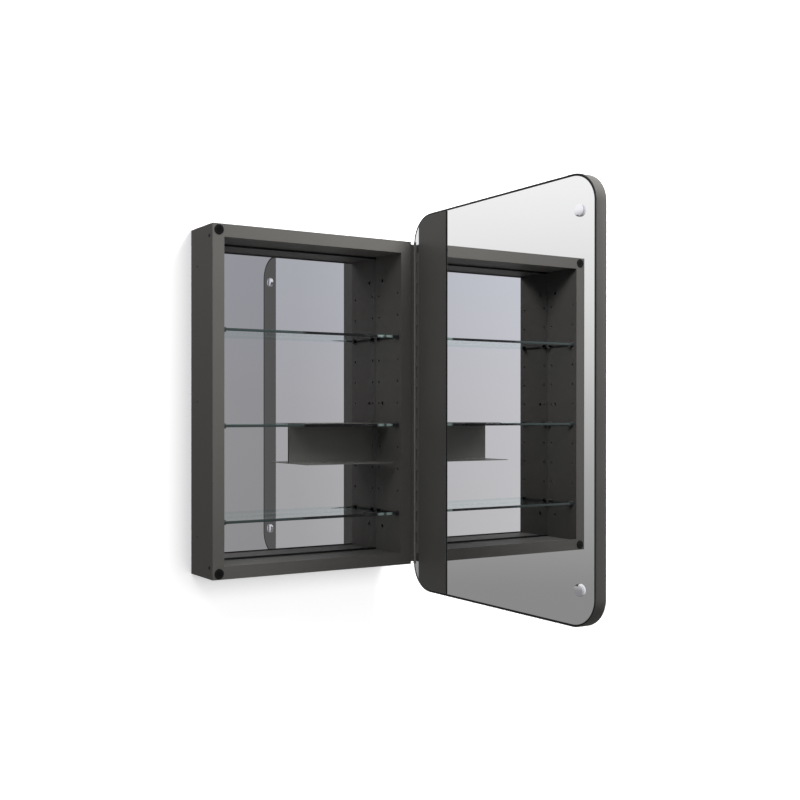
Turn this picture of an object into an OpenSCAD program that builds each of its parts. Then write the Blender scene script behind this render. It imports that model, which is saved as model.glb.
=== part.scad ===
// Wall-hung medicine cabinet with a mirrored door, shown with the door open at ninety degrees.
// Origin: centre of the casing's back face. +X right, +Y into the wall, +Z up. Millimetres.

/* [Casing] */
// Outside width of the casing
case_w = 508; // [440:1:600]
// Outside height of the casing
case_h = 744; // [720:1:800]
// Depth of the casing from its front flange to its back face
case_d = 107; // [100:1:130]
// Width of the front flange, which is also the thickness of a side wall
flange_w = 27.3; // [24:0.1:32]
// Thickness of the top and bottom walls behind the front lip
cap_h = 24.6; // [22:0.1:26]
// Thickness of the formed sheet
sheet = 1.5; // [1:0.1:2]

/* [Shelves] */
// Thickness of the glass shelves
shelf_t = 6; // [5:0.5:8]
// Distance between two shelf holes in a column
hole_pitch = 50.8; // [50:0.1:52]
// Distance of a shelf's front edge behind the front flange
shelf_front = 6.8; // [5:0.1:8]
// Distance of a shelf's back edge behind the front flange
shelf_back = 98; // [96:0.5:98]
// Diameter of the slotted clip that grips the glass
clip_d = 11.3; // [10:0.1:12]
// How far a clip stands out of the side wall
clip_len = 9; // [7:0.5:9]

/* [Hanging tray] */
// Width of the folded tray
tray_w = 228; // [150:1:260]
// Gap between the tray and the right inner wall
tray_gap = 12.2; // [11:0.1:20]
// Height of the tray's ledge below the middle of its shelf
tray_drop = 88; // [60:1:100]

/* [Door] */
// Width of the door
door_w = 559; // [556:0.5:562]
// Height of the door
door_h = 864; // [800:1:900]
// Thickness of the door
door_t = 26.5; // [24:0.5:30]
// Radius of the door's corners
door_r = 60.5; // [50:0.5:70]
// Thickness of the metal rim seen from either face
rim_w = 2; // [1.5:0.1:3]
// Width of the black gasket between the rim and a mirror
gasket_w = 2.6; // [1.5:0.1:3]
// Width of the painted plate on the hinge side of the inner face
plate_w = 98.5; // [80:0.5:110]
// Diameter of the two strike discs on the inner face
strike_d = 24; // [18:0.5:26]

/* [Hinge] */
// Outside diameter of the hinge knuckles
barrel_d = 6; // [5.5:0.1:6]
// Diameter of the hinge pin
pin_d = 3; // [2.5:0.1:3]
// Distance of the hinge axis outside the casing's right side
axis_out = 12; // [11.5:0.1:13]
// Distance of the hinge axis behind the front flange
axis_back = 1.3; // [1:0.1:2]

/* [Hidden] */
$fn = 48;
half_w = case_w / 2;
half_h = case_h / 2;
front_y = -case_d;
inner_x = half_w - flange_w;
inner_z = half_h - cap_h;
lip_z = half_h - flange_w;

hole_r = 2.6;
hole_rows = [-5:5];
column_back = [14.5, 89.5];
stud_access_r = 4;
stud_screw_r = 2;
stud_hole_back = 75.7;
stud_hole_z = 289.3;
return_w = 8;
back_sheet = 1;
back_y = -back_sheet;

corner_screw_back = 15.6;
corner_screw_z = 347.7;
block_depth = 26.5;
block_z = 341;
catch_x = 15.1;
catch_z = 359.2;
catch_bore_r = 6.1;
magnet_r = 5.9;
magnet_proud = 1.6;
bumper_r = 10.5;
bumper_t = 2;
bumper_neck_r = 6.9;
rivet_backs = [40, 85];
rivet_z = 361;
rivet_r = 2;

mirror_back = 102.5;
mirror_t = 3;
mirror_gap = 0.5;
tape_t = 0.5;
channel_t = 1.5;
channel_h = 4.4;
channel_bite = 0.1;

shelf_rows = [3, -1, -5];
clip_base = 2;
clip_slack = 0.05;
shelf_half = inner_x - clip_base - 0.2;
stem_r = 2.5;

tray_sheet = 1.5;
tray_back = 101;
tray_front = 14.9;
tray_hook = 60;
tray_x = inner_x - tray_gap - tray_w;
middle_z = shelf_rows[1] * hole_pitch;

axis_x = half_w + axis_out;
axis_y = front_y + axis_back;
knuckle = case_h / 31;
knuckle_gap = 0.4;
knuckle_end = 15;
pin_slack = 0.05;
leaf_t = 1.5;
leaf_reach = 27;
leaf_chamfer = 5;
leaf_end = 336;
leaf_gap = 0.2;
web_reach = 1;
leaf_start = 2;
hinge_screw_r = 1.6;
hinge_screw_head_r = 3;
hinge_screw_step = 82.5;
hinge_screw_rows = [-4:4];

face_gap = 7.6;
face_x = axis_x + face_gap;
edge_reach = door_w / 2 - axis_x;
door_mid_y = axis_y + edge_reach - door_w / 2;
door_glass = 4;
core_t = door_t - 2 * door_glass - 2 * tape_t;
plate_t = 1.2;
pad_t = 1.7;
plate_near = 6.7;
leaf_x = face_x - leaf_t;
glass_inset = rim_w + gasket_w;
rivet_row_back = -17;
strike_t = 4;
strike_y = axis_y - (axis_x + half_w - catch_x);
tape_w = 20;

// A box from its lowest corner to its highest one
module span(low, high) {
    translate(low) cube(high - low);
}

// A rod along X, from x0 to x1, centred on (y, z)
module rod_x(x0, x1, y, z, r) {
    translate([x0, y, z]) rotate([0, 90, 0]) cylinder(r = r, h = x1 - x0);
}

// A rod along Y, from y0 to y1, centred on (x, z)
module rod_y(y0, y1, x, z, r) {
    translate([x, y0, z]) rotate([-90, 0, 0]) cylinder(r = r, h = y1 - y0);
}

// Mirrors its children to the other side of the casing as well
module both_sides() {
    children();
    mirror([1, 0, 0]) children();
}

// Repeats its children at the top and at the bottom
module top_and_bottom() {
    children();
    mirror([0, 0, 1]) children();
}

// The right side wall: a hollow folded panel whose returns carry the back sheet
module side_wall() {
    difference() {
        span([inner_x, front_y, -half_h], [half_w, back_y, half_h]);
        span([inner_x + sheet, front_y + sheet, -half_h + sheet],
            [half_w - sheet, back_y - sheet, half_h - sheet]);
        span([inner_x + return_w, back_y - 2 * sheet, -half_h + return_w],
            [half_w - return_w, 1, half_h - return_w]);
        for (back = column_back, row = hole_rows)
            rod_x(inner_x - 1, inner_x + sheet + 1, front_y + back, row * hole_pitch, hole_r);
        for (z = [-stud_hole_z, 0, stud_hole_z])
            for (bore = [[inner_x - 1, stud_access_r], [half_w - sheet - 1, stud_screw_r]])
                rod_x(bore[0], bore[0] + sheet + 2, front_y + stud_hole_back, z, bore[1]);
        top_and_bottom() {
            rod_x(half_w - 2 * sheet, half_w + 1, front_y + corner_screw_back, corner_screw_z, 2.1);
            for (back = rivet_backs)
                rod_x(inner_x - 1, inner_x + 2 * sheet, front_y + back, rivet_z, rivet_r);
        }
    }
}

module left_side_panel() {
    color([0.33, 0.32, 0.31]) difference() {
        mirror([1, 0, 0]) side_wall();
        top_and_bottom() rod_y(front_y - 1, front_y + 2 * sheet, catch_x - half_w, catch_z, 7);
    }
}

module right_side_panel() {
    color([0.30, 0.29, 0.28]) difference() {
        side_wall();
        for (row = hinge_screw_rows)
            rod_x(half_w - 2 * sheet, half_w + 1, front_y + 20, row * hinge_screw_step, hinge_screw_r);
    }
}

// The top wall: a hollow folded panel between the sides, with a lip below its front flange
module cap_wall() {
    difference() {
        union() {
            span([-inner_x, front_y, inner_z], [inner_x, back_y, half_h]);
            span([-inner_x, front_y, lip_z], [inner_x, front_y + sheet, inner_z]);
        }
        span([-inner_x + sheet, front_y + sheet, inner_z + sheet],
            [inner_x - sheet, back_y - sheet, half_h - sheet]);
        span([-inner_x + return_w, back_y - 2 * sheet, inner_z + return_w],
            [inner_x - return_w, 1, half_h - return_w]);
        both_sides() for (back = rivet_backs)
            rod_x(inner_x - 2 * sheet, inner_x + 1, front_y + back, rivet_z, rivet_r);
    }
}

module top_panel() {
    color([0.34, 0.33, 0.32]) cap_wall();
}

module bottom_panel() {
    color([0.34, 0.33, 0.32]) mirror([0, 0, 1]) cap_wall();
}

// The sheet that closes the whole back, hollow walls included
module back_panel() {
    color([0.40, 0.40, 0.40]) span([-half_w, back_y, -half_h], [half_w, 0, half_h]);
}

module back_mirror() {
    y = front_y + mirror_back;
    x = inner_x - mirror_gap;
    z = inner_z - channel_t - mirror_gap;
    color([0.80, 0.83, 0.86]) span([-x, y, -z], [x, y + mirror_t, z]);
}

module back_mirror_tape() {
    y = front_y + mirror_back + mirror_t;
    color([0.85, 0.85, 0.80]) for (x = [-180, -60, 60, 180])
        span([x - tape_w / 2, y, -320], [x + tape_w / 2, y + tape_t, 320]);
}

// The black channels that hold the top and bottom edges of the back mirror
module mirror_channels() {
    y = front_y + mirror_back - channel_bite;
    color([0.05, 0.05, 0.05]) top_and_bottom() {
        span([-inner_x, y - channel_t, inner_z - channel_h], [inner_x, y, inner_z]);
        span([-inner_x, y, inner_z - channel_t], [inner_x, back_y, inner_z]);
    }
}

module shelf(row) {
    z = row * hole_pitch;
    color([0.72, 0.84, 0.80, 0.5])
        span([-shelf_half, front_y + shelf_front, z - shelf_t / 2],
            [shelf_half, front_y + shelf_back, z + shelf_t / 2]);
}

module upper_shelf() { shelf(shelf_rows[0]); }
module middle_shelf() { shelf(shelf_rows[1]); }
module lower_shelf() { shelf(shelf_rows[2]); }

// The steel stems that carry one shelf's four clips
module shelf_pins(row) {
    color([0.55, 0.55, 0.55]) both_sides() for (back = column_back)
        rod_x(inner_x - clip_base + 0.4, inner_x + 6, front_y + back, row * hole_pitch, stem_r);
}

module upper_shelf_pins() { shelf_pins(shelf_rows[0]); }
module middle_shelf_pins() { shelf_pins(shelf_rows[1]); }
module lower_shelf_pins() { shelf_pins(shelf_rows[2]); }

// The four slotted clips that grip one shelf
module shelf_clips(row) {
    z = row * hole_pitch;
    slot = shelf_t / 2 + clip_slack;
    color([0.08, 0.08, 0.08]) both_sides() for (back = column_back) difference() {
        rod_x(inner_x - clip_len, inner_x, front_y + back, z, clip_d / 2);
        span([inner_x - clip_len - 1, front_y + back - clip_d, z - slot],
            [inner_x - clip_base, front_y + back + clip_d, z + slot]);
        rod_x(inner_x - clip_base + 0.4, inner_x + 1, front_y + back, z, stem_r);
    }
}

module upper_shelf_clips() { shelf_clips(shelf_rows[0]); }
module middle_shelf_clips() { shelf_clips(shelf_rows[1]); }
module lower_shelf_clips() { shelf_clips(shelf_rows[2]); }

// The blocks inside the side walls that take the corner screws and, on the left, the catches
module corner_blocks() {
    y0 = front_y + sheet;
    color([0.15, 0.15, 0.15]) top_and_bottom() both_sides() difference() {
        span([inner_x + sheet, y0, block_z], [half_w - sheet, y0 + block_depth, half_h - sheet]);
        rod_x(half_w - 14, half_w, front_y + corner_screw_back, corner_screw_z, 2);
        rod_y(y0 - 1, y0 + 8, half_w - catch_x, catch_z, catch_bore_r);
    }
}

module corner_screws() {
    color([0.10, 0.10, 0.10]) top_and_bottom() both_sides() difference() {
        union() {
            rod_x(half_w, half_w + 0.8, front_y + corner_screw_back, corner_screw_z, 3.9);
            rod_x(half_w - 13, half_w + 0.1, front_y + corner_screw_back, corner_screw_z, 2);
        }
        rod_x(half_w - 0.4, half_w + 1, front_y + corner_screw_back, corner_screw_z, 1.25);
    }
}

module panel_rivets() {
    color([0.60, 0.60, 0.60]) top_and_bottom() both_sides() for (back = rivet_backs) {
        rod_x(inner_x + sheet, inner_x + 2 * sheet, front_y + back, rivet_z, 4);
        rod_x(inner_x - sheet, inner_x + sheet, front_y + back, rivet_z, rivet_r);
        rod_x(inner_x - 3 * sheet, inner_x - sheet, front_y + back, rivet_z, 3.2);
    }
}

module catch_magnets() {
    color([0.12, 0.12, 0.12]) top_and_bottom()
        rod_y(front_y - magnet_proud, front_y + sheet + 8, catch_x - half_w, catch_z, magnet_r);
}

// The rubber rings round the catch magnets, each with a neck in the flange's hole
module catch_bumpers() {
    x = catch_x - half_w;
    color([0.05, 0.05, 0.05]) top_and_bottom() difference() {
        union() {
            rod_y(front_y - bumper_t, front_y, x, catch_z, bumper_r);
            rod_y(front_y - 1, front_y + sheet, x, catch_z, bumper_neck_r);
        }
        rod_y(front_y - bumper_t - 1, front_y + sheet + 1, x, catch_z, catch_bore_r);
    }
}

// Bored knuckles along the hinge axis, one at each place in rows
module knuckles(rows) {
    for (i = rows)
        translate([axis_x, axis_y, i * knuckle - (knuckle - knuckle_gap) / 2])
            cylinder(d = barrel_d, h = knuckle - knuckle_gap);
}

module pin_bore() {
    translate([axis_x, axis_y, -half_h - 1]) cylinder(d = pin_d + 2 * pin_slack, h = case_h + 2);
}

// The fixed leaf: screwed to the casing's right side, with a web that passes behind the knuckles
module casing_hinge_leaf() {
    web_y = axis_y + barrel_d / 2 + leaf_gap;
    web_end = half_h - leaf_chamfer;
    rows = [-knuckle_end:2:knuckle_end];
    color([0.32, 0.31, 0.30]) difference() {
        union() {
            span([half_w, web_y, -leaf_end], [half_w + leaf_t, web_y + leaf_reach, leaf_end]);
            span([half_w, web_y, -web_end], [axis_x + web_reach, web_y + leaf_t, web_end]);
            for (i = rows) {
                low = i * knuckle - (knuckle - knuckle_gap) / 2;
                top = low + knuckle - knuckle_gap;
                span([axis_x - leaf_t, axis_y + pin_d / 2, max(low, -web_end)],
                    [axis_x, web_y + leaf_t, min(top, web_end)]);
            }
            knuckles(rows);
        }
        pin_bore();
        for (row = hinge_screw_rows)
            rod_x(half_w - 1, half_w + 2 * leaf_t, front_y + 20, row * hinge_screw_step, hinge_screw_r);
    }
}

module hinge_pin() {
    color([0.70, 0.70, 0.70]) translate([axis_x, axis_y, -half_h]) cylinder(d = pin_d, h = case_h);
}

module casing_hinge_screws() {
    x = half_w + leaf_t;
    color([0.10, 0.10, 0.10]) for (row = hinge_screw_rows) {
        rod_x(x, x + 1.2, front_y + 20, row * hinge_screw_step, hinge_screw_head_r);
        rod_x(half_w - 6, x, front_y + 20, row * hinge_screw_step, hinge_screw_r);
    }
}

// The tray hooks over the middle shelf, drops down in front of the mirror and turns forward
module hanging_tray() {
    glass_top = middle_z + shelf_t / 2;
    back = front_y + tray_back;
    ledge = middle_z - tray_drop;
    color([0.20, 0.20, 0.19]) {
        span([tray_x, back - tray_sheet, ledge], [tray_x + tray_w, back, glass_top + tray_sheet]);
        span([tray_x, back - tray_hook, glass_top], [tray_x + tray_w, back, glass_top + tray_sheet]);
        span([tray_x, front_y + tray_front, ledge], [tray_x + tray_w, back, ledge + tray_sheet]);
    }
}

// A rounded rectangle as flat stretches and corner discs, so that its arcs stay true
module rounded_rect(w, h, r) {
    square([w - 2 * r, h], center = true);
    square([w, h - 2 * r], center = true);
    for (x = [r - w / 2, w / 2 - r], y = [r - h / 2, h / 2 - r])
        translate([x, y]) circle(r = r, $fn = 96);
}

// The door's outline, moved in by inset
module door_outline(inset) {
    rounded_rect(door_w - 2 * inset, door_h - 2 * inset, door_r - inset);
}

// Places a flat shape drawn across the door at a distance behind the door's inner face
module on_door(depth, thickness) {
    translate([face_x + depth, door_mid_y, 0]) rotate([90, 0, 90])
        linear_extrude(height = thickness) children();
}

module door_rim() {
    color([0.36, 0.35, 0.34]) difference() {
        on_door(0, door_t) door_outline(0);
        on_door(-1, door_t + 2) door_outline(rim_w);
    }
}

module inner_mirror() {
    color([0.80, 0.83, 0.86]) on_door(0, door_glass) door_outline(glass_inset);
}

module front_mirror() {
    color([0.80, 0.83, 0.86]) on_door(door_t - door_glass, door_glass) door_outline(glass_inset);
}

// The black gaskets that seal both mirrors into the rim
module mirror_gaskets() {
    color([0.04, 0.04, 0.04]) for (depth = [0, door_t - door_glass])
        on_door(depth, door_glass) difference() {
            door_outline(rim_w);
            door_outline(glass_inset);
        }
}

module door_core() {
    color([0.75, 0.72, 0.66]) on_door(door_glass + tape_t, core_t) door_outline(rim_w);
}

// Strips of mounting tape between the core and one of the mirrors
module door_tape(depth) {
    color([0.85, 0.85, 0.80]) on_door(depth, tape_t)
        for (x = [-200, -100, 0, 100, 200]) translate([x, 0]) square([tape_w, door_h - 200], center = true);
}

module inner_mirror_tape() { door_tape(door_glass); }
module front_mirror_tape() { door_tape(door_t - door_glass - tape_t); }

// The strip of the door's inner face that the hinge-side plate and its pad cover
module plate_outline() {
    intersection() {
        door_outline(glass_inset);
        translate([front_y - plate_near - plate_w - door_mid_y, -door_h / 2]) square([plate_w, door_h]);
    }
}

// The painted plate over the inner mirror, which carries the hinge
module hinge_side_plate() {
    color([0.27, 0.26, 0.25]) difference() {
        on_door(-pad_t - plate_t, plate_t) plate_outline();
        for (row = hinge_screw_rows)
            rod_x(face_x - pad_t - 0.6, face_x, front_y + rivet_row_back, row * hinge_screw_step, hinge_screw_r);
    }
}

// The black pad between the plate and the mirror, cut out round the hinge leaf
module plate_pad() {
    leaf_half = knuckle_end * knuckle - knuckle / 2;
    color([0.04, 0.04, 0.04]) difference() {
        on_door(-pad_t, pad_t) plate_outline();
        span([face_x - 2 * pad_t, front_y - leaf_reach - 1, -leaf_half - 0.5],
            [face_x + 1, front_y, leaf_half + 0.5]);
    }
}

// The moving leaf: it lies on the mirror under the plate, with a web to its own knuckles
module door_hinge_leaf() {
    leaf_y = axis_y - barrel_d / 2;
    rows = [-knuckle_end + 1:2:knuckle_end - 1];
    leaf_half = knuckle_end * knuckle - knuckle / 2;
    color([0.32, 0.31, 0.30]) difference() {
        union() {
            span([leaf_x, front_y - leaf_reach, -leaf_half], [face_x, axis_y + leaf_start, leaf_half]);
            for (i = rows) {
                low = i * knuckle - (knuckle - knuckle_gap) / 2;
                span([axis_x, leaf_y, low], [leaf_x + 0.5, leaf_y + leaf_t, low + knuckle - knuckle_gap]);
            }
            knuckles(rows);
        }
        pin_bore();
        for (row = hinge_screw_rows)
            rod_x(leaf_x - 1, face_x + 1, front_y + rivet_row_back, row * hinge_screw_step, hinge_screw_r);
    }
}

// The hidden rivets that join the moving leaf to the plate
module door_hinge_rivets() {
    color([0.60, 0.60, 0.60]) for (row = hinge_screw_rows)
        rod_x(face_x - pad_t - 0.5, face_x - 0.1, front_y + rivet_row_back, row * hinge_screw_step,
            hinge_screw_r - 0.02);
}

// Bright discs on the inner face that land on the casing's catches when the door shuts
module strike_discs() {
    color([0.85, 0.86, 0.88]) top_and_bottom()
        rod_x(face_x - strike_t, face_x, strike_y, catch_z, strike_d / 2);
}

left_side_panel();
right_side_panel();
top_panel();
bottom_panel();
back_panel();
back_mirror();
back_mirror_tape();
mirror_channels();
upper_shelf();
middle_shelf();
lower_shelf();
upper_shelf_pins();
middle_shelf_pins();
lower_shelf_pins();
upper_shelf_clips();
middle_shelf_clips();
lower_shelf_clips();
corner_blocks();
corner_screws();
panel_rivets();
catch_magnets();
catch_bumpers();
casing_hinge_leaf();
hinge_pin();
casing_hinge_screws();
hanging_tray();
door_rim();
mirror_gaskets();
front_mirror();
front_mirror_tape();
door_core();
inner_mirror_tape();
inner_mirror();
hinge_side_plate();
plate_pad();
door_hinge_leaf();
door_hinge_rivets();
strike_discs();
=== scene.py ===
import math
import bmesh
import bpy
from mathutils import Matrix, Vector


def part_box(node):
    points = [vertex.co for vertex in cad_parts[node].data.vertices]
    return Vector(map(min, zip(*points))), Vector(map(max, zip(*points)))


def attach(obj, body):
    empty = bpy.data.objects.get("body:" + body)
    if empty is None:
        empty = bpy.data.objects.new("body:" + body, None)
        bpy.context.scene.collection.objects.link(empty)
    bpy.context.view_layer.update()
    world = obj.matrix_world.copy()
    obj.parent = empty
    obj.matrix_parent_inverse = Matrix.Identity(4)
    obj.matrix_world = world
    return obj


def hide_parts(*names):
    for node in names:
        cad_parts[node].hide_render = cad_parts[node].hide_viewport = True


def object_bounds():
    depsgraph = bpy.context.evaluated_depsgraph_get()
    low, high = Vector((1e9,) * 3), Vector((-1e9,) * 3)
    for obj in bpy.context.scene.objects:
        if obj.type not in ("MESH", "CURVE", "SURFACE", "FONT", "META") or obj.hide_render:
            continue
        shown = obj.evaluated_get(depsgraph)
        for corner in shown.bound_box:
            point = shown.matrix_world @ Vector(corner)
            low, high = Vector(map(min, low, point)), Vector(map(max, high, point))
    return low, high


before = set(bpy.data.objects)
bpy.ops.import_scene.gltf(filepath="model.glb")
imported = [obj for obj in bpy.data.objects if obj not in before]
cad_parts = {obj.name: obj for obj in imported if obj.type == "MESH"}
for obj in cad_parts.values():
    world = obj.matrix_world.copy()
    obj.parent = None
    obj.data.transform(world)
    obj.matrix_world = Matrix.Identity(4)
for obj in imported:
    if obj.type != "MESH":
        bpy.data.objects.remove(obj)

cad_low, cad_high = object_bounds()
MM = 0.001


# ---------------------------------------------------------------- camera and studio

def place_camera():
    """A nearly level camera to the left of the cabinet, looking across it at the open door."""
    data = bpy.data.cameras.new("studio_camera")
    data.sensor_width = 36
    data.lens = 46.598
    data.shift_x = 0.175
    data.shift_y = 0.0225
    camera = bpy.data.objects.new("studio_camera", data)
    camera.location = (-1.1884, -2.0468, -0.0265)
    camera.rotation_euler = (math.radians(90 - 0.2), 0, math.radians(-28.34))
    bpy.context.collection.objects.link(camera)
    bpy.context.scene.camera = camera


# ---------------------------------------------------------------- shader maths

class Channel:
    """One output socket of a node tree, so that shader maths reads as plain maths."""

    def __init__(self, tree, socket):
        self.tree = tree
        self.socket = socket

    def maths(self, operation, first, second):
        values = {0: first, 1: second}
        return add_node(self.tree, "ShaderNodeMath", {"operation": operation}, values)

    def __add__(self, other):
        return self.maths("ADD", self, other)

    def __radd__(self, other):
        return self.maths("ADD", other, self)

    def __sub__(self, other):
        return self.maths("SUBTRACT", self, other)

    def __rsub__(self, other):
        return self.maths("SUBTRACT", other, self)

    def __mul__(self, other):
        return self.maths("MULTIPLY", self, other)

    def __rmul__(self, other):
        return self.maths("MULTIPLY", other, self)

    def __truediv__(self, other):
        return self.maths("DIVIDE", self, other)

    def __pow__(self, other):
        return self.maths("POWER", self, other)

    def __gt__(self, other):
        return self.maths("GREATER_THAN", self, other)

    def __lt__(self, other):
        return self.maths("LESS_THAN", self, other)


def add_node(tree, kind, settings=None, values=None, output=0):
    """Adds one node, sets it, fills or links its inputs and returns one of its outputs."""
    node = tree.nodes.new(kind)
    for name, value in (settings or {}).items():
        if name == "stops":
            for stop, (place, colour) in zip(stops_of(node, len(value)), value):
                stop.position = place
                stop.color = colour
        else:
            setattr(node, name, value)
    for name, value in (values or {}).items():
        if isinstance(value, Channel):
            tree.links.new(value.socket, node.inputs[name])
        else:
            node.inputs[name].default_value = value
    return Channel(tree, node.outputs[output]) if node.outputs else node


def stops_of(node, count):
    """The stops of a colour ramp, made up to count."""
    elements = node.color_ramp.elements
    while len(elements) < count:
        elements.new(0.5)
    return elements


def grey(value):
    return (value, value, value, 1)


def colour(red, green, blue):
    return (red, green, blue, 1)


def new_finish(name):
    """An empty material and its node tree."""
    material = bpy.data.materials.new(name)
    material.use_nodes = True
    material.node_tree.nodes.clear()
    return material, material.node_tree


def noise(tree, scale, detail=3, stretch=(1, 1, 1)):
    """Noise in the object's own metres, stretched along the axes if asked."""
    place = add_node(tree, "ShaderNodeTexCoord", output="Object")
    place = add_node(tree, "ShaderNodeMapping", None, {"Vector": place, "Scale": stretch})
    return add_node(tree, "ShaderNodeTexNoise", None, {"Vector": place, "Scale": scale, "Detail": detail})


def blend_colours(tree, factor, first, second, blend="MIX"):
    """first where factor is 0 and second, or its blend with first, where it is 1. Sockets 6, 7 and 2 of a
    Mix node are its two colours and the colour that comes out."""
    return add_node(tree, "ShaderNodeMix", {"data_type": "RGBA", "blend_type": blend},
                    {0: factor, 6: first, 7: second}, 2)


def ramp(tree, factor, stops):
    """A colour for each value of factor, through stops of (place, colour)."""
    return add_node(tree, "ShaderNodeValToRGB", {"stops": stops}, {0: factor})


def surface(tree, values, bump=None, depth=0.0001, strength=0.5):
    """Ends a tree in one Principled shader, with an optional bump height."""
    if bump is not None:
        values["Normal"] = add_node(tree, "ShaderNodeBump", None,
                                    {"Height": bump, "Distance": depth, "Strength": strength})
    shader = add_node(tree, "ShaderNodeBsdfPrincipled", None, values)
    add_node(tree, "ShaderNodeOutputMaterial", None, {"Surface": shader})


# ---------------------------------------------------------------- finishes

def satin_paint(name, base, roughness=0.42, grain=0.35, sheen=0.3, shaded=1.0):
    """Baked satin paint on formed metal: fine orange peel, a faint mottle and uneven gloss.
    Where shaded is below 1, faces that look to +X are painted darker: painted shade for an inner face that the
    lamps hardly reach."""
    material, tree = new_finish(name)
    mottle = noise(tree, 9, 4)
    speck = noise(tree, 1400, 2)
    peel = noise(tree, 520, 3)
    light = tuple(1.13 * c for c in base)
    dark = tuple(0.88 * c for c in base)
    tone = 0.7 * mottle + 0.3 * speck
    shade = blend_colours(tree, tone, colour(*dark), colour(*light))
    # painted shade: faces looking to +X take a darker copy of the colour, standing in for the shade on the
    # cabinet's inner left wall
    if shaded < 1:
        facing = add_node(tree, "ShaderNodeNewGeometry", output="Normal")
        right = add_node(tree, "ShaderNodeSeparateXYZ", None, {0: facing}) > 0.9
        shade_dark, shade_light = (colour(*(shaded * c for c in coat)) for coat in (dark, light))
        painted_shade = blend_colours(tree, tone, shade_dark, shade_light)
        shade = blend_colours(tree, right, shade, painted_shade)
    gloss = roughness - 0.05 + 0.10 * mottle + 0.04 * speck
    surface(tree, {"Base Color": shade, "Roughness": gloss, "Specular IOR Level": sheen}, peel, 0.00006, grain)
    return material


def silvered_glass(name, base):
    """A mirror: silver behind float glass, with the faintest haze from wiping."""
    material, tree = new_finish(name)
    wipe = noise(tree, 6, 3, (1, 1, 3))
    haze = 0.004 + 0.012 * (wipe ** 4)
    tint = blend_colours(tree, wipe, colour(*(0.985 * c for c in base)), colour(*base))
    surface(tree, {"Base Color": tint, "Roughness": haze, "Metallic": 1.0})
    return material


def ground_edge(name):
    """The ground and polished edge of a mirror, greenish and half dull."""
    material, tree = new_finish(name)
    grind = noise(tree, 900, 2, (1, 1, 0.2))
    tint = blend_colours(tree, grind, colour(0.16, 0.22, 0.20), colour(0.34, 0.42, 0.39))
    surface(tree, {"Base Color": tint, "Roughness": 0.12 + 0.1 * grind, "Metallic": 0.4}, grind, 0.00003)
    return material


def clear_glass(name):
    """A thin glass face: it only shows by what it mirrors, most of all at a low angle."""
    material, tree = new_finish(name)
    film = noise(tree, 14, 2)
    mirrored = 0.06 * add_node(tree, "ShaderNodeFresnel", None, {"IOR": 1.45})
    clear = add_node(tree, "ShaderNodeBsdfTransparent", None, {"Color": colour(0.97, 0.99, 0.985)})
    gloss = add_node(tree, "ShaderNodeBsdfAnisotropic", None,
                     {"Color": colour(0.97, 1, 0.99), "Roughness": 0.01 + 0.01 * film})
    both = add_node(tree, "ShaderNodeMixShader", None, {0: mirrored, 1: clear, 2: gloss})
    add_node(tree, "ShaderNodeOutputMaterial", None, {"Surface": both})
    return material


def glass_edge(name, pale, painted_dark, painted_glint, length):
    """The polished edge of a glass sheet: its own pale green on the left, then painted dark from the middle of
    the right half and painted glints beside the clips, standing in for the refraction and reflection a glass
    edge shows. Seen through the sheet it is nearly clear."""
    material, tree = new_finish(name)
    depth = noise(tree, 25, 2, (1, 1, 0.1))
    place = add_node(tree, "ShaderNodeTexCoord", output="Object")
    along = 0.5 + add_node(tree, "ShaderNodeSeparateXYZ", None, {0: place}) / length
    # painted refraction: the edge colour is set along its length, dark and bright, in place of the light a
    # real glass edge bends and reflects
    painted_dim = grey(0.03)
    tint = ramp(tree, along, [
        (0.00, pale), (0.42, pale), (0.45, painted_dark), (0.78, painted_dark), (0.81, painted_dim), (0.865, painted_dim),
        (0.880, painted_glint), (0.900, painted_glint), (0.915, painted_dim), (0.930, painted_glint), (0.950, painted_glint), (0.965, painted_dim)])
    body = add_node(tree, "ShaderNodeBsdfPrincipled", None,
                    {"Base Color": tint, "Roughness": 0.06 + 0.06 * depth, "Specular IOR Level": 0.2})
    through = add_node(tree, "ShaderNodeFresnel", None, {"IOR": 2.4}) ** 2
    clear = add_node(tree, "ShaderNodeBsdfTransparent", None, {"Color": colour(0.9, 0.95, 0.94)})
    both = add_node(tree, "ShaderNodeMixShader", None, {0: through, 1: body, 2: clear})
    add_node(tree, "ShaderNodeOutputMaterial", None, {"Surface": both})
    return material


def soft_black(name, base=0.006, roughness=0.6):
    """Moulded rubber or plastic with a fine matt skin."""
    material, tree = new_finish(name)
    skin = noise(tree, 2200, 2)
    wear = noise(tree, 60, 3)
    tint = blend_colours(tree, wear, grey(0.7 * base), grey(1.6 * base))
    surface(tree, {"Base Color": tint, "Roughness": roughness - 0.08 + 0.16 * wear, "Specular IOR Level": 0.2},
            skin, 0.00004, 0.6)
    return material


def bare_metal(name, base, roughness=0.3, lines=(1, 1, 1)):
    """Uncoated metal with drawing lines along its length."""
    material, tree = new_finish(name)
    drawn = noise(tree, 700, 2, lines)
    stain = noise(tree, 30, 3)
    tone = 0.6 * drawn + 0.4 * stain
    tint = blend_colours(tree, tone, colour(*(0.82 * c for c in base)), colour(*base))
    surface(tree, {"Base Color": tint, "Roughness": roughness - 0.06 + 0.12 * tone, "Metallic": 1.0},
            drawn, 0.00002, 0.4)
    return material


def fibre_board(name):
    """The pale board between the door's two mirrors."""
    material, tree = new_finish(name)
    fibre = noise(tree, 260, 5, (1, 1, 0.3))
    tint = blend_colours(tree, fibre, colour(0.42, 0.34, 0.24), colour(0.62, 0.53, 0.40))
    surface(tree, {"Base Color": tint, "Roughness": 0.75 + 0.1 * fibre}, fibre, 0.0002)
    return material


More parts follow.
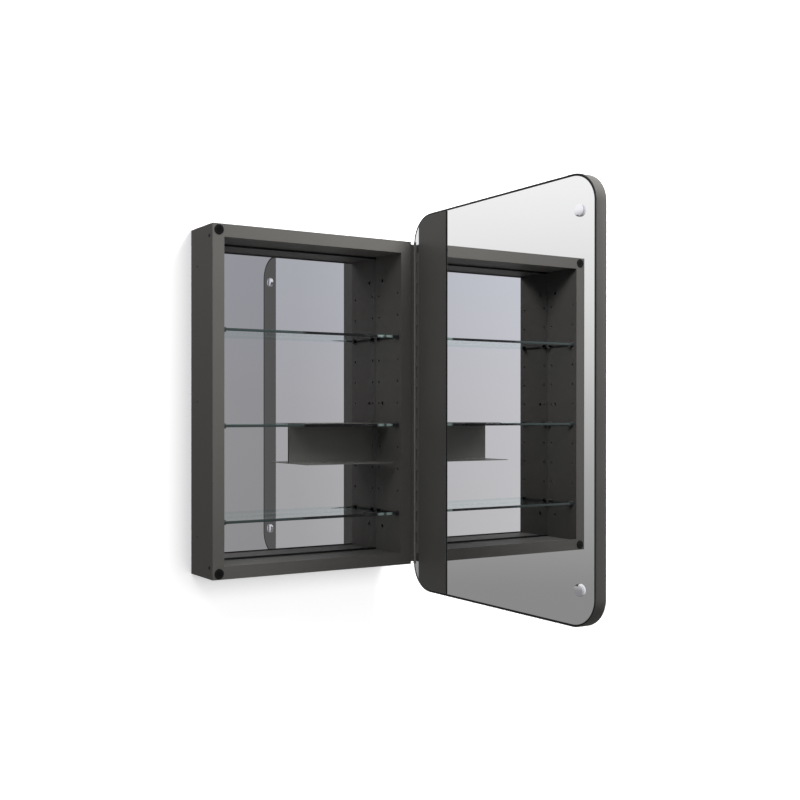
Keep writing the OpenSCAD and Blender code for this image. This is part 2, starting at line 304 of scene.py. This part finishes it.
def foam_tape(name):
    """Closed-cell foam mounting tape."""
    material, tree = new_finish(name)
    cells = add_node(tree, "ShaderNodeTexVoronoi", None,
                     {"Vector": add_node(tree, "ShaderNodeTexCoord", output="Object"), "Scale": 2500})
    tint = blend_colours(tree, cells, grey(0.55), grey(0.82))
    surface(tree, {"Base Color": tint, "Roughness": 0.85 + 0.1 * cells}, cells, 0.0001)
    return material


shelf_low, shelf_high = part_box("upper_shelf")
FINISH = {
    "dark_paint": satin_paint("dark_paint", (0.118, 0.114, 0.107), 0.5, 0.35, 0.1),
    # painted shade: the left panel's face looking to +X is drawn at half the colour
    "left_paint_inner_shade": satin_paint("left_paint_inner_shade", (0.118, 0.114, 0.107), 0.5, 0.35, 0.1, 0.5),
    "rim_paint": satin_paint("rim_paint", (0.096, 0.093, 0.088), 0.45),
    "plate_paint": satin_paint("plate_paint", (0.118, 0.115, 0.108), 0.45),
    "hinge_paint": satin_paint("hinge_paint", (0.165, 0.160, 0.152), 0.32, 0.35, 0.6),
    "tray_paint": satin_paint("tray_paint", (0.175, 0.170, 0.160), 0.42),
    "mirror": silvered_glass("mirror", (0.865, 0.865, 0.867)),
    "back_mirror": silvered_glass("back_mirror_silver", (0.80, 0.792, 0.805)),
    "mirror_edge": ground_edge("mirror_edge"),
    "shelf_glass": clear_glass("shelf_glass"),
    # the dark and glint colours of shelf_edge are painted refraction and painted glints
    "shelf_edge": glass_edge("shelf_edge", colour(0.040, 0.055, 0.053), grey(0.003), colour(0.40, 0.52, 0.49),
                             shelf_high.x - shelf_low.x),
    "black_rubber": soft_black("black_rubber"),
    "black_plastic": soft_black("black_plastic", 0.010, 0.45),
    "smoked_plastic": soft_black("smoked_plastic", 0.055, 0.3),
    "black_steel": satin_paint("black_steel", (0.005, 0.005, 0.005), 0.4, 0.35, 0.15),
    "steel": bare_metal("steel", (0.62, 0.61, 0.60), 0.28),
    "bare_sheet": bare_metal("bare_sheet", (0.55, 0.55, 0.55), 0.42, (1, 1, 0.02)),
    "bright_steel": bare_metal("bright_steel", (0.93, 0.93, 0.97), 0.08),
    "door_board": fibre_board("door_board"),
    "foam_tape": foam_tape("foam_tape"),
}


# ---------------------------------------------------------------- mesh helpers

def finish_piece(piece, materials, body, node):
    """Gives a new piece its materials and its body, and hides the CAD node that it stands for."""
    for name in materials:
        piece.data.materials.append(FINISH[name])
    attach(piece, body)
    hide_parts(node)


def mesh_piece(name, bm, smooth_angle=35):
    """Turns a bmesh into an object, flat across its sharp edges and smooth elsewhere."""
    bmesh.ops.recalc_face_normals(bm, faces=bm.faces)
    for face in bm.faces:
        face.smooth = True
    for edge in bm.edges:
        if len(edge.link_faces) == 2 and edge.calc_face_angle() > math.radians(smooth_angle):
            edge.smooth = False
    mesh = bpy.data.meshes.new(name)
    bm.to_mesh(mesh)
    bm.free()
    piece = bpy.data.objects.new(name, mesh)
    bpy.context.collection.objects.link(piece)
    return piece


def soften(piece, width, segments=2):
    """Rounds the sharp edges of a piece a little, as forming and paint do."""
    bevel = piece.modifiers.new("edge_rounding", "BEVEL")
    bevel.width = width
    bevel.segments = segments
    bevel.limit_method = "ANGLE"
    bevel.angle_limit = math.radians(40)
    bevel.use_clamp_overlap = True
    bevel.harden_normals = True
    return piece


def add_box(bm, low, high):
    """Adds a box to a bmesh."""
    low, high = Vector(low), Vector(high)
    made = bmesh.ops.create_cube(bm, size=1)["verts"]
    bmesh.ops.scale(bm, vec=high - low, verts=made)
    bmesh.ops.translate(bm, vec=(low + high) / 2, verts=made)


def join_rings(bm, rings, closed_profile=False, caps=False):
    """Skins a list of rings of points, each ring a closed loop with as many points as the others."""
    loops = [[bm.verts.new(point) for point in ring] for ring in rings]
    pairs = list(zip(loops, loops[1:]))
    if closed_profile:
        pairs.append((loops[-1], loops[0]))
    for first, second in pairs:
        for i, here in enumerate(first):
            after = (i + 1) % len(first)
            bm.faces.new((here, first[after], second[after], second[i]))
    if caps:
        bm.faces.new(loops[0])
        bm.faces.new(loops[-1])


def lathe(bm, profile, centre, axis, sides=48):
    """Turns a profile of (radius, distance along the axis) pairs about an axis through centre."""
    axis = Vector(axis)
    across = axis.orthogonal().normalized()
    other = axis.cross(across)
    turn = [2 * math.pi * k / sides for k in range(sides)]
    rings = [[Vector(centre) + axis * reach + (across * math.cos(a) + other * math.sin(a)) * radius
              for a in turn] for radius, reach in profile]
    join_rings(bm, rings, caps=True)


# ---------------------------------------------------------------- door

rim_low, rim_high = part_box("door_rim")
glass_low, glass_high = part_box("inner_mirror")
front_low, front_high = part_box("front_mirror")
gasket_low, gasket_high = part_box("mirror_gaskets")
RIM_WIDTH = gasket_low.z - rim_low.z
GLASS_INSET = glass_low.z - rim_low.z
DOOR_RADIUS = 60.5 * MM
DOOR_CENTRE = (rim_low.y + rim_high.y) / 2
ARC_STEPS = 24


def door_ring(inset, x):
    """The door's outline moved in by inset, as a loop of points at one x."""
    half_w = (rim_high.y - rim_low.y) / 2 - inset
    half_h = rim_high.z - inset
    radius = DOOR_RADIUS - inset
    points = []
    for quarter, (side, top) in enumerate(((1, 1), (-1, 1), (-1, -1), (1, -1))):
        middle = Vector((x, DOOR_CENTRE + side * (half_w - radius), top * (half_h - radius)))
        for step in range(ARC_STEPS + 1):
            angle = (quarter + step / ARC_STEPS) * math.pi / 2
            points.append(middle + radius * Vector((0, math.cos(angle), math.sin(angle))))
    return points


def door_rim():
    """The metal rim, swept from one profile with rounded arrises on both faces."""
    low, high, wall = rim_low.x, rim_high.x, RIM_WIDTH
    arris = 0.7 * MM
    bite = 0.2 * MM
    profile = [(0, low + arris), (0, high - arris), (0.3 * arris, high - 0.3 * arris), (arris, high),
               (wall - bite, high), (wall, high - bite), (wall, low + bite), (wall - bite, low),
               (arris, low), (0.3 * arris, low + 0.3 * arris)]
    bm = bmesh.new()
    join_rings(bm, [door_ring(inset, x) for inset, x in profile], closed_profile=True)
    piece = mesh_piece("door_rim_frame", bm, 50)
    finish_piece(piece, ["rim_paint"], "door", "door_rim")


def door_glass(name, low, high, node):
    """One of the door's mirrors: a plate with a fine ground arris on both faces."""
    arris = 0.35 * MM
    profile = [(arris, low), (0, low + arris), (0, high - arris), (arris, high)]
    bm = bmesh.new()
    join_rings(bm, [door_ring(GLASS_INSET + inset, x) for inset, x in profile], caps=True)
    for face in bm.faces:
        face.material_index = 0 if len(face.verts) > 4 else 1
    piece = mesh_piece(name, bm, 20)
    finish_piece(piece, ["mirror", "mirror_edge"], "door", node)


def gaskets():
    """The two black gaskets between the rim and the mirrors, each with a rounded lip."""
    bm = bmesh.new()
    width = GLASS_INSET - RIM_WIDTH
    for low, high, face in ((gasket_low.x, glass_high.x, -1), (front_low.x, gasket_high.x, 1)):
        lip = 0.25 * width
        outer, inner = RIM_WIDTH, GLASS_INSET
        if face < 0:
            profile = [(outer, high), (outer, low + lip), (outer + lip, low), (inner - lip, low),
                       (inner, low + lip), (inner, high)]
        else:
            profile = [(outer, low), (outer, high - lip), (outer + lip, high), (inner - lip, high),
                       (inner, high - lip), (inner, low)]
        join_rings(bm, [door_ring(inset, x) for inset, x in profile], closed_profile=True)
    finish_piece(mesh_piece("mirror_gasket_pair", bm, 50), ["black_rubber"], "door", "mirror_gaskets")


def plate_slab(name, node, rounding):
    """The plate or its pad: a slab over the inner mirror that follows the door's round corners."""
    low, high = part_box(node)
    edge = glass_high.y
    radius = DOOR_RADIUS - GLASS_INSET
    near, far, top = high.y, low.y, high.z
    outline = []
    for step in range(ARC_STEPS + 1):
        y = near + (edge - radius - near) * step / ARC_STEPS
        outline.append((y, top - radius + math.sqrt(radius ** 2 - (y - edge + radius) ** 2)))
    outline.append((far, top))
    outline += [(y, -z) for y, z in reversed(outline)]
    bm = bmesh.new()
    join_rings(bm, [[Vector((x, y, z)) for y, z in outline] for x in (low.x, high.x)], caps=True)
    return soften(mesh_piece(name, bm), rounding)


def hinge_side_plate():
    """The painted plate: a thin slab with a rounded arris."""
    piece = plate_slab("hinge_plate_cover", "hinge_side_plate", 0.35 * MM)
    finish_piece(piece, ["plate_paint"], "door", "hinge_side_plate")


def strike_discs():
    """Two plain bright discs with a rounded shoulder, which the catches hold when the door shuts."""
    low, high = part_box("strike_discs")
    radius = (high.y - low.y) / 2
    reach = high.x - low.x
    middle = (low.y + high.y) / 2
    profile = [(radius, 0), (radius, 0.75 * reach), (0.99 * radius, 0.88 * reach),
               (0.965 * radius, 0.97 * reach), (0.93 * radius, reach), (0.02 * radius, reach)]
    bm = bmesh.new()
    for z in (high.z - radius, low.z + radius):
        lathe(bm, profile, (high.x, middle, z), (-1, 0, 0), 64)
    finish_piece(mesh_piece("strike_disc_pair", bm), ["bright_steel"], "door", "strike_discs")


# ---------------------------------------------------------------- casing fittings

def shelf(level):
    """A glass shelf: clear faces and back, and on its front and ends the edge finish with painted refraction
    and painted glints.
    """
    node = level + "_shelf"
    low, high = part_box(node)
    bm = bmesh.new()
    add_box(bm, low, high)
    bmesh.ops.bevel(bm, geom=list(bm.edges), offset=0.7 * MM, segments=2, affect="EDGES", profile=0.5)
    for face in bm.faces:
        face.material_index = 1 if face.normal.y < -0.3 or abs(face.normal.x) > 0.5 else 0
    piece = mesh_piece(node + "_glass", bm, 30)
    finish_piece(piece, ["shelf_glass", "shelf_edge"], "casing", node)


def catches():
    """The rubber rings and the magnets in them, each magnet with a shallow round dimple."""
    low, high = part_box("catch_bumpers")
    magnet_low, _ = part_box("catch_magnets")
    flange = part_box("left_side_panel")[0].y
    radius = (high.x - low.x) / 2
    middle = (low.x + high.x) / 2
    reach = flange - low.y
    ring = [(0.60 * radius, 0), (radius, 0), (radius, 0.55 * reach), (0.97 * radius, 0.8 * reach),
            (0.90 * radius, reach), (0.66 * radius, reach), (0.61 * radius, 0.88 * reach),
            (0.60 * radius, 0.6 * reach)]
    turn = [2 * math.pi * k / 48 for k in range(48)]
    button_r = 0.57 * radius
    depth = flange - magnet_low.y
    bm_ring, bm_magnet = bmesh.new(), bmesh.new()
    for z in (high.z - radius, low.z + radius):
        centre = Vector((middle, flange, z))
        rings = [[centre + Vector((r * math.cos(a), -out, r * math.sin(a))) for a in turn] for r, out in ring]
        join_rings(bm_ring, rings, closed_profile=True)
        lathe(bm_magnet, [(button_r, -1 * MM), (button_r, 0.8 * depth), (0.92 * button_r, depth),
                          (0.45 * button_r, depth), (0.40 * button_r, 0.6 * depth)], centre, (0, -1, 0))
    finish_piece(mesh_piece("catch_bumper_rings", bm_ring), ["black_rubber"], "casing", "catch_bumpers")
    finish_piece(mesh_piece("catch_magnet_buttons", bm_magnet), ["black_steel"], "casing", "catch_magnets")


def hinge_screws():
    """The row of pan-head screws with hex sockets that holds the fixed hinge leaf."""
    low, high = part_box("casing_hinge_screws")
    radius = (high.y - low.y) / 2
    head = 1.2 * MM
    shank_r, shank_end = 1.5 * MM, -7 * MM
    profile = [(shank_r, shank_end), (shank_r, 0), (radius, 0), (radius, 0.35 * head),
               (0.93 * radius, 0.75 * head), (0.78 * radius, head), (0.46 * radius, head),
               (0.42 * radius, 0.30 * head)]
    step = (high.z - low.z - 2 * radius) / 8
    bm = bmesh.new()
    for k in range(-4, 5):
        lathe(bm, profile, (high.x - head, (low.y + high.y) / 2, k * step), (1, 0, 0), 36)
    finish_piece(mesh_piece("casing_hinge_screw_row", bm), ["black_steel"], "casing", "casing_hinge_screws")


def corner_screws():
    """The four low-headed screws near the front of the outer side walls."""
    low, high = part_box("corner_screws")
    radius = (high.y - low.y) / 2
    top = high.z - radius
    head = 0.8 * MM
    shank_r, shank_end = 1.9 * MM, -12 * MM
    profile = [(shank_r, shank_end), (shank_r, 0), (radius, 0), (radius, 0.5 * head), (0.86 * radius, head),
               (0.44 * radius, head), (0.40 * radius, 0.2 * head)]
    bm = bmesh.new()
    for side in (-1, 1):
        for z in (top, -top):
            lathe(bm, profile, (side * (high.x - head), (low.y + high.y) / 2, z), (side, 0, 0), 36)
    finish_piece(mesh_piece("corner_screw_set", bm), ["black_steel"], "casing", "corner_screws")


def hanging_tray():
    """One folded sheet: a hook over the shelf, a back and a ledge, with true bends at the folds."""
    low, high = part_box("hanging_tray")
    sheet = 1.5 * MM
    bend = 2.2 * MM
    hook = 60 * MM
    bend_steps = 8
    path = [(high.y - hook, high.z - sheet / 2), (high.y - sheet / 2, high.z - sheet / 2),
            (high.y - sheet / 2, low.z + sheet / 2), (low.y, low.z + sheet / 2)]
    centre_line = [Vector(path[0])]
    for before, corner, after in zip(path, path[1:], path[2:]):
        before, corner, after = Vector(before), Vector(corner), Vector(after)
        enter = (before - corner).normalized()
        leave = (after - corner).normalized()
        pivot = corner + bend * (enter + leave)
        for step in range(bend_steps + 1):
            turn = step / bend_steps * math.pi / 2
            centre_line.append(pivot - bend * (leave * math.cos(turn) + enter * math.sin(turn)))
    centre_line.append(Vector(path[-1]))
    outer, inner = [], []
    for i, point in enumerate(centre_line):
        ahead = centre_line[min(i + 1, len(centre_line) - 1)]
        behind = centre_line[max(i - 1, 0)]
        along = (ahead - behind).normalized()
        side = Vector((along.y, -along.x)) * sheet / 2
        outer.append(point + side)
        inner.append(point - side)
    outline = outer + inner[::-1]
    bm = bmesh.new()
    join_rings(bm, [[Vector((x, p.x, p.y)) for p in outline] for x in (low.x, high.x)], caps=True)
    piece = soften(mesh_piece("folded_tray", bm, 40), 0.35 * MM)
    finish_piece(piece, ["tray_paint"], "tray", "hanging_tray")


CARRIED = {
    "left_side_panel": "left_paint_inner_shade", "right_side_panel": "dark_paint", "top_panel": "dark_paint",
    "bottom_panel": "dark_paint", "back_panel": "bare_sheet", "back_mirror": "back_mirror",
    "back_mirror_tape": "foam_tape", "mirror_channels": "black_plastic", "corner_blocks": "black_plastic",
    "panel_rivets": "steel", "casing_hinge_leaf": "hinge_paint", "door_hinge_leaf": "hinge_paint",
    "hinge_pin": "steel", "door_core": "door_board", "front_mirror_tape": "foam_tape",
    "inner_mirror_tape": "foam_tape", "plate_pad": "black_rubber", "door_hinge_rivets": "steel",
}
for level in ("upper", "middle", "lower"):
    CARRIED[level + "_shelf_pins"] = "steel"
    CARRIED[level + "_shelf_clips"] = "smoked_plastic"
ROUNDED = {"left_side_panel": 0.8, "right_side_panel": 0.8, "top_panel": 0.8, "bottom_panel": 0.8,
           "mirror_channels": 0.3, "casing_hinge_leaf": 0.25, "door_hinge_leaf": 0.25}


def dress_carried_nodes():
    """Gives each CAD node that stays in view its own finish, and rounds its formed edges."""
    for node, finish in CARRIED.items():
        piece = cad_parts[node]
        piece.data.materials.clear()
        piece.data.materials.append(FINISH[finish])
        if node in ROUNDED:
            soften(piece, ROUNDED[node] * MM)


# ---------------------------------------------------------------- studio

def wall_finish():
    """A white wall seen only from the room's side, glowing evenly, with a painted contact shadow where the
    glow dims near the cabinet.
    """
    material, tree = new_finish("studio_wall")
    facing = add_node(tree, "ShaderNodeNewGeometry", output="Backfacing")
    grain = noise(tree, 3, 2)
    tint = blend_colours(tree, grain, grey(0.88), grey(0.90))
    matt = add_node(tree, "ShaderNodeBsdfDiffuse", None, {"Color": tint})
    # painted shadow: ambient occlusion darkens the wall's glow close to the cabinet
    contact_shadow = add_node(tree, "ShaderNodeAmbientOcclusion", None, {"Color": grey(1), "Distance": 0.07})
    glow = add_node(tree, "ShaderNodeEmission", None, {"Color": contact_shadow, "Strength": 0.8})
    lit = add_node(tree, "ShaderNodeAddShader", None, {0: matt, 1: glow})
    clear = add_node(tree, "ShaderNodeBsdfTransparent")
    both = add_node(tree, "ShaderNodeMixShader", None, {0: facing, 1: lit, 2: clear})
    add_node(tree, "ShaderNodeOutputMaterial", None, {"Surface": both})
    return material


def floor_finish():
    """A plain pale studio floor."""
    material, tree = new_finish("studio_floor")
    cloud = noise(tree, 2, 3)
    tint = blend_colours(tree, cloud, grey(0.80), grey(0.84))
    surface(tree, {"Base Color": tint, "Roughness": 0.6, "Emission Color": grey(1), "Emission Strength": 0.6})
    return material


def plane(name, corners, material):
    """One flat sheet of the studio."""
    mesh = bpy.data.meshes.new(name)
    mesh.from_pydata(corners, [], [(0, 1, 2, 3)])
    piece = bpy.data.objects.new(name, mesh)
    mesh.materials.append(material)
    bpy.context.collection.objects.link(piece)
    return piece


def stage():
    """The wall behind the cabinet and the floor well below it."""
    reach, base = 5, cad_low.z - 0.75
    wall_y = cad_high.y + 1 * MM
    wall = plane("studio_wall", [(-reach, wall_y, base), (reach, wall_y, base),
                                 (reach, wall_y, reach), (-reach, wall_y, reach)], wall_finish())
    floor = plane("studio_floor", [(-reach, -reach, base), (reach, -reach, base),
                                   (reach, reach, base), (-reach, reach, base)], floor_finish())
    for piece in (wall, floor):
        piece.visible_diffuse = False
        piece.visible_glossy = False
        piece.visible_transmission = False
        piece.visible_shadow = False


def softbox(name, place, width, height, power):
    """A large soft lamp, aimed at the casing's front, that doesn't show in the mirrors."""
    data = bpy.data.lights.new(name, "AREA")
    data.shape = "RECTANGLE"
    data.size = width
    data.size_y = height
    data.energy = power
    lamp = bpy.data.objects.new(name, data)
    lamp.location = place
    lamp.rotation_euler = (Vector((0, -0.2, 0.1)) - Vector(place)).to_track_quat("-Z", "Y").to_euler()
    bpy.context.collection.objects.link(lamp)
    lamp.visible_glossy = False
    lamp.visible_camera = False


def sky():
    """White to the camera. To the mirrors, a studio: pale behind the cabinet, grey in front of it,
    with a dark flag on one side. To matt surfaces, a dim room, lighter overhead and underfoot."""
    world = bpy.data.worlds.new("studio")
    bpy.context.scene.world = world
    world.use_nodes = True
    tree = world.node_tree
    tree.nodes.clear()
    direction = add_node(tree, "ShaderNodeTexCoord")
    east, north, up = [add_node(tree, "ShaderNodeSeparateXYZ", None, {0: direction}, axis) for axis in "XYZ"]
    height = 0.5 + 0.5 * up
    back = ramp(tree, height, [
        (0.00, grey(0.15)), (0.42, grey(0.29)), (0.47, grey(0.437)), (0.50, grey(0.555)), (0.555, grey(0.82)),
        (0.605, grey(1.02)), (1.0, grey(1.2))])
    veil = ramp(tree, height, [
        (0.00, grey(0.55)), (0.44, colour(0.93, 0.93, 0.945)), (0.50, colour(0.97, 0.975, 1.01)),
        (0.56, colour(1.0, 1.03, 1.12)), (1.0, grey(1.3))])
    west_side = 0.52 - 1.44 * (east + 0.482)
    east_side = 0.36 + 0.2 * (0.45 - east)
    side = west_side.maths("MAXIMUM", west_side, east_side)
    front = blend_colours(tree, 1.0, veil, side, "MULTIPLY")
    flag_west, flag_east = math.tan(math.radians(29.22)), 0.4
    flag = (east > north * flag_west) * (east < north * flag_east)
    shaded = blend_colours(tree, flag, front, grey(0.125))
    turn = ramp(tree, 0.5 + 0.5 * north, [(0.35, grey(0)), (0.65, grey(1))])
    seen = blend_colours(tree, turn, shaded, back)
    room = ramp(tree, height, [
        (0.00, grey(0.55)), (0.30, grey(0.12)), (0.45, grey(0.06)), (0.60, grey(0.20)), (1.0, grey(0.50))])
    room = blend_colours(tree, north > 0.0, room, grey(0.06))
    from_matt = add_node(tree, "ShaderNodeLightPath", output="Is Diffuse Ray")
    from_camera = add_node(tree, "ShaderNodeLightPath", output="Is Camera Ray")
    tint = blend_colours(tree, from_matt, seen, room)
    tint = blend_colours(tree, from_camera, tint, grey(1))
    backdrop = add_node(tree, "ShaderNodeBackground", None, {"Color": tint, "Strength": 1.0})
    add_node(tree, "ShaderNodeOutputWorld", None, {"Surface": backdrop})


def studio():
    """The wall and floor, what surrounds them, and the two lamps."""
    stage()
    sky()
    softbox("key_box", (0.80, -1.25, 1.45), 0.7, 0.8, 52)
    softbox("fill_box", (-1.2, -1.0, 1.3), 0.8, 0.8, 7)


place_camera()
door_rim()
door_glass("inner_mirror_glass", glass_low.x, glass_high.x, "inner_mirror")
door_glass("front_mirror_glass", front_low.x, front_high.x, "front_mirror")
gaskets()
hinge_side_plate()
strike_discs()
for level in ("upper", "middle", "lower"):
    shelf(level)
catches()
hinge_screws()
corner_screws()
hanging_tray()
dress_carried_nodes()
studio()
bpy.context.scene.view_settings.view_transform = "Standard"
bpy.context.scene.cycles.use_denoising = True
